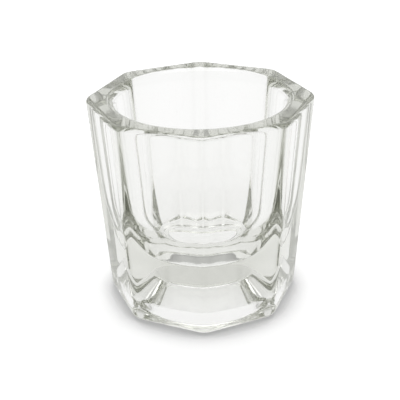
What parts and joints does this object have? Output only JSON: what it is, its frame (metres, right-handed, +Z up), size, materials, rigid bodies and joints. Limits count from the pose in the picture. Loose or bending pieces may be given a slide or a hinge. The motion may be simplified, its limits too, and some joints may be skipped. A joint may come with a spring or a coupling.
{
  "type": "dappen dish",
  "caption": "Thick octagonal clear glass dish with a round bowl-shaped well and a hollowed foot, for dipping a nail brush.",
  "frame": {"origin": "middle of the foot, in the plane that the dish stands on", "axes": "+Z up along the well's axis; a corner of the octagon towards -Y, and so one towards each of +Y, -X and +X"},
  "size_m": [0.033, 0.033, 0.032],
  "materials": {
    "glass": "clear pressed glass, fire-polished, very faint grey-green cast"
  },
  "bodies": {
    "root": {"glass_dish": "glass"}
  },
  "joints": []
}
